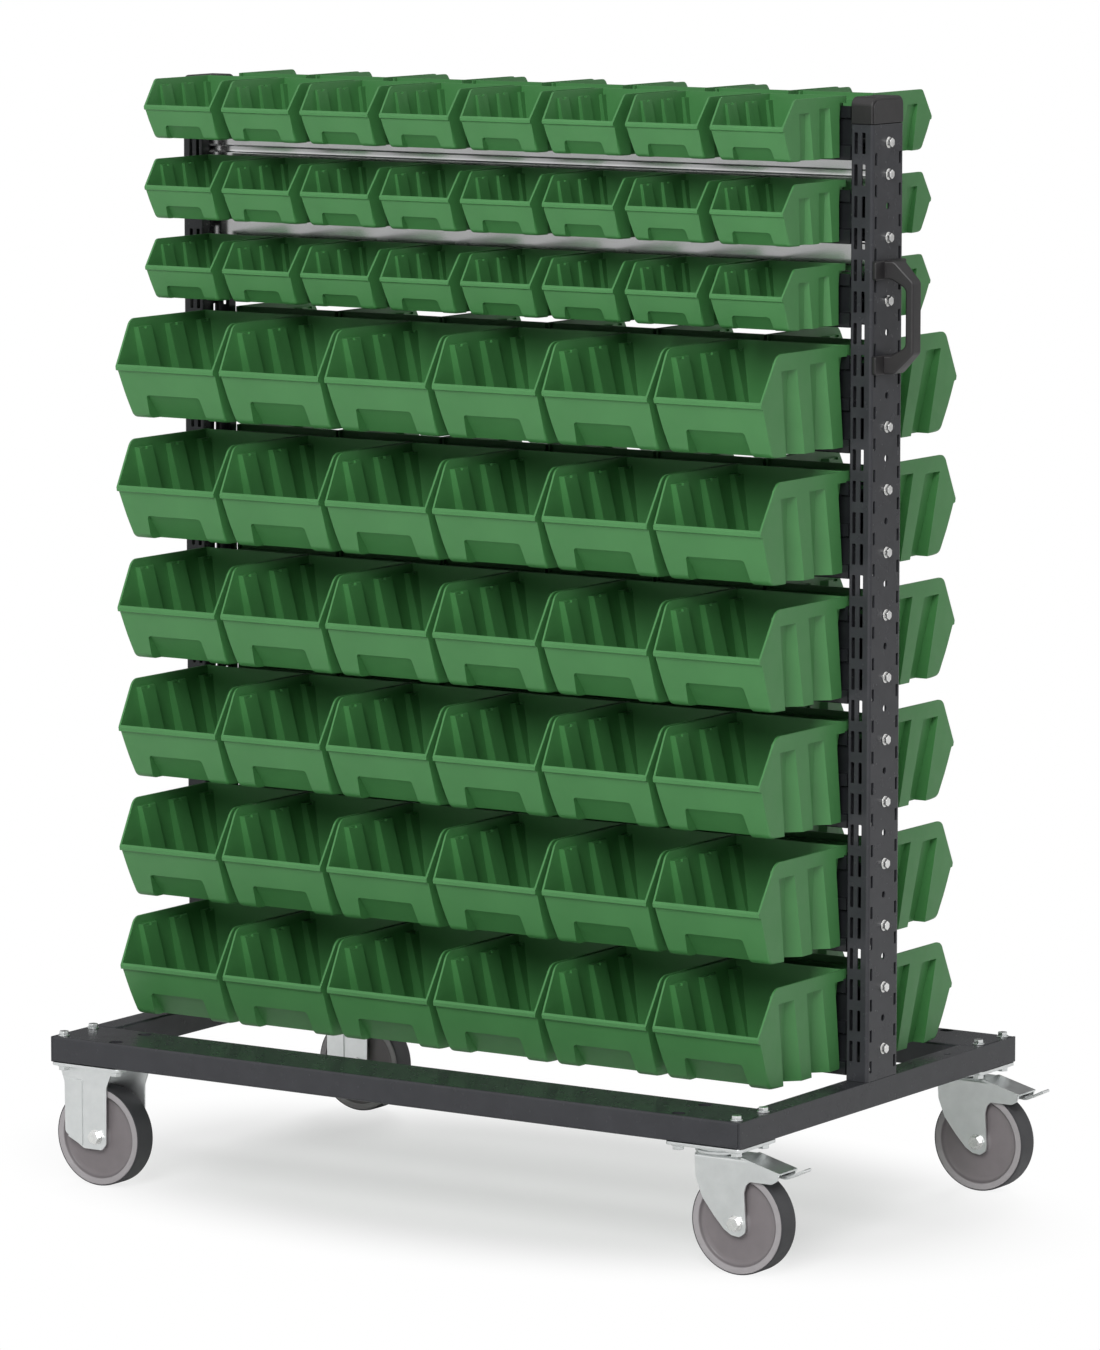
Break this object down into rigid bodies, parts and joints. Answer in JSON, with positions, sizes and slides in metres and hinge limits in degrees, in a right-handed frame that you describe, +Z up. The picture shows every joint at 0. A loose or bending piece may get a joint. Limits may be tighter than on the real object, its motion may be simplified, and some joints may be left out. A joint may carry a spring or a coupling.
{
  "type": "mobile bin cart",
  "caption": "Castered double-sided cart with slotted uprights, hanging rails and rows of open-fronted plastic bins in two sizes.",
  "frame": {"origin": "on the floor, under the middle of the base frame", "axes": "+Z up, +X along the base to the end with the push handle and the swivel casters, -Y to the front row of bins"},
  "size_m": [1.0915, 0.654, 1.3676],
  "materials": {
    "coated_steel": "satin anthracite powder coat",
    "coated_rail": "semi-gloss anthracite powder coat",
    "black_plastic": "fine matt grain",
    "zinc_bar": "bright zinc plate",
    "zinc_caster": "bright zinc plate",
    "zinc_bolt": "bright zinc plate",
    "green_plastic": "moulded satin",
    "grey_hub": "moulded satin",
    "tread": "smooth rubber tread"
  },
  "bodies": {
    "frame": {"base_front": "coated_steel", "base_rear": "coated_steel", "base_left": "coated_steel", "base_right": "coated_steel", "upright_left": "coated_steel", "upright_right": "coated_steel", "cap_left": "black_plastic", "cap_right": "black_plastic", "push_handle": "black_plastic", "crossbar_upper": "zinc_bar", "crossbar_lower": "zinc_bar", "rail_1": "coated_rail", "rail_2": "coated_rail", "rail_3": "coated_rail", "rail_4": "coated_rail", "rail_5": "coated_rail", "rail_6": "coated_rail", "rail_7": "coated_rail", "rail_8": "coated_rail", "rail_9": "coated_rail", "swivel_front_plate": "zinc_caster", "swivel_rear_plate": "zinc_caster", "fixed_front_fork": "zinc_caster", "fixed_front_axle": "zinc_bolt", "fixed_rear_fork": "zinc_caster", "fixed_rear_axle": "zinc_bolt"},
    "bin_row_front_1": {"bins_front_1": "green_plastic"},
    "bin_row_rear_1": {"bins_rear_1": "green_plastic"},
    "bin_row_front_2": {"bins_front_2": "green_plastic"},
    "bin_row_rear_2": {"bins_rear_2": "green_plastic"},
    "bin_row_front_3": {"bins_front_3": "green_plastic"},
    "bin_row_rear_3": {"bins_rear_3": "green_plastic"},
    "bin_row_front_4": {"bins_front_4": "green_plastic"},
    "bin_row_rear_4": {"bins_rear_4": "green_plastic"},
    "bin_row_front_5": {"bins_front_5": "green_plastic"},
    "bin_row_rear_5": {"bins_rear_5": "green_plastic"},
    "bin_row_front_6": {"bins_front_6": "green_plastic"},
    "bin_row_rear_6": {"bins_rear_6": "green_plastic"},
    "bin_row_front_7": {"bins_front_7": "green_plastic"},
    "bin_row_rear_7": {"bins_rear_7": "green_plastic"},
    "bin_row_front_8": {"bins_front_8": "green_plastic"},
    "bin_row_rear_8": {"bins_rear_8": "green_plastic"},
    "bin_row_front_9": {"bins_front_9": "green_plastic"},
    "bin_row_rear_9": {"bins_rear_9": "green_plastic"},
    "swivel_front": {"swivel_front_fork": "zinc_caster", "swivel_front_axle": "zinc_bolt"},
    "swivel_front_wheel": {"swivel_front_hub": "grey_hub", "swivel_front_tyre": "tread"},
    "swivel_front_brake": {"swivel_front_pedal": "zinc_caster"},
    "fixed_front_wheel": {"fixed_front_hub": "grey_hub", "fixed_front_tyre": "tread"},
    "swivel_rear": {"swivel_rear_fork": "zinc_caster", "swivel_rear_axle": "zinc_bolt"},
    "swivel_rear_wheel": {"swivel_rear_hub": "grey_hub", "swivel_rear_tyre": "tread"},
    "swivel_rear_brake": {"swivel_rear_pedal": "zinc_caster"},
    "fixed_rear_wheel": {"fixed_rear_hub": "grey_hub", "fixed_rear_tyre": "tread"}
  },
  "joints": [
    {"name": "bin_row_front_1_lift", "type": "slide", "parent": "frame", "child": "bin_row_front_1", "axis": [0, 0, 1], "range_m": [0, 0.012]},
    {"name": "bin_row_rear_1_lift", "type": "slide", "parent": "frame", "child": "bin_row_rear_1", "axis": [0, 0, 1], "range_m": [0, 0.012]},
    {"name": "bin_row_front_2_lift", "type": "slide", "parent": "frame", "child": "bin_row_front_2", "axis": [0, 0, 1], "range_m": [0, 0.012]},
    {"name": "bin_row_rear_2_lift", "type": "slide", "parent": "frame", "child": "bin_row_rear_2", "axis": [0, 0, 1], "range_m": [0, 0.012]},
    {"name": "bin_row_front_3_lift", "type": "slide", "parent": "frame", "child": "bin_row_front_3", "axis": [0, 0, 1], "range_m": [0, 0.012]},
    {"name": "bin_row_rear_3_lift", "type": "slide", "parent": "frame", "child": "bin_row_rear_3", "axis": [0, 0, 1], "range_m": [0, 0.012]},
    {"name": "bin_row_front_4_lift", "type": "slide", "parent": "frame", "child": "bin_row_front_4", "axis": [0, 0, 1], "range_m": [0, 0.012]},
    {"name": "bin_row_rear_4_lift", "type": "slide", "parent": "frame", "child": "bin_row_rear_4", "axis": [0, 0, 1], "range_m": [0, 0.012]},
    {"name": "bin_row_front_5_lift", "type": "slide", "parent": "frame", "child": "bin_row_front_5", "axis": [0, 0, 1], "range_m": [0, 0.012]},
    {"name": "bin_row_rear_5_lift", "type": "slide", "parent": "frame", "child": "bin_row_rear_5", "axis": [0, 0, 1], "range_m": [0, 0.012]},
    {"name": "bin_row_front_6_lift", "type": "slide", "parent": "frame", "child": "bin_row_front_6", "axis": [0, 0, 1], "range_m": [0, 0.012]},
    {"name": "bin_row_rear_6_lift", "type": "slide", "parent": "frame", "child": "bin_row_rear_6", "axis": [0, 0, 1], "range_m": [0, 0.012]},
    {"name": "bin_row_front_7_lift", "type": "slide", "parent": "frame", "child": "bin_row_front_7", "axis": [0, 0, 1], "range_m": [0, 0.012]},
    {"name": "bin_row_rear_7_lift", "type": "slide", "parent": "frame", "child": "bin_row_rear_7", "axis": [0, 0, 1], "range_m": [0, 0.012]},
    {"name": "bin_row_front_8_lift", "type": "slide", "parent": "frame", "child": "bin_row_front_8", "axis": [0, 0, 1], "range_m": [0, 0.012]},
    {"name": "bin_row_rear_8_lift", "type": "slide", "parent": "frame", "child": "bin_row_rear_8", "axis": [0, 0, 1], "range_m": [0, 0.012]},
    {"name": "bin_row_front_9_lift", "type": "slide", "parent": "frame", "child": "bin_row_front_9", "axis": [0, 0, 1], "range_m": [0, 0.012]},
    {"name": "bin_row_rear_9_lift", "type": "slide", "parent": "frame", "child": "bin_row_rear_9", "axis": [0, 0, 1], "range_m": [0, 0.012]},
    {"name": "swivel_front_turn", "type": "hinge", "parent": "frame", "child": "swivel_front", "pos_m": [0.45, -0.285, 0.142], "axis": [0, 0, 1], "continuous": true},
    {"name": "swivel_front_wheel_spin", "type": "hinge", "parent": "swivel_front", "child": "swivel_front_wheel", "pos_m": [0.482, -0.285, 0.0625], "axis": [0, 1, 0], "continuous": true},
    {"name": "swivel_front_brake_press", "type": "hinge", "parent": "swivel_front", "child": "swivel_front_brake", "pos_m": [0.52, -0.285, 0.1255], "axis": [0, 1, 0], "range_deg": [0, 12]},
    {"name": "fixed_front_wheel_spin", "type": "hinge", "parent": "frame", "child": "fixed_front_wheel", "pos_m": [-0.45, -0.285, 0.0625], "axis": [0, 1, 0], "continuous": true},
    {"name": "swivel_rear_turn", "type": "hinge", "parent": "frame", "child": "swivel_rear", "pos_m": [0.45, 0.285, 0.142], "axis": [0, 0, 1], "continuous": true},
    {"name": "swivel_rear_wheel_spin", "type": "hinge", "parent": "swivel_rear", "child": "swivel_rear_wheel", "pos_m": [0.482, 0.285, 0.0625], "axis": [0, 1, 0], "continuous": true},
    {"name": "swivel_rear_brake_press", "type": "hinge", "parent": "swivel_rear", "child": "swivel_rear_brake", "pos_m": [0.52, 0.285, 0.1255], "axis": [0, 1, 0], "range_deg": [0, 12]},
    {"name": "fixed_rear_wheel_spin", "type": "hinge", "parent": "frame", "child": "fixed_rear_wheel", "pos_m": [-0.45, 0.285, 0.0625], "axis": [0, 1, 0], "continuous": true}
  ]
}
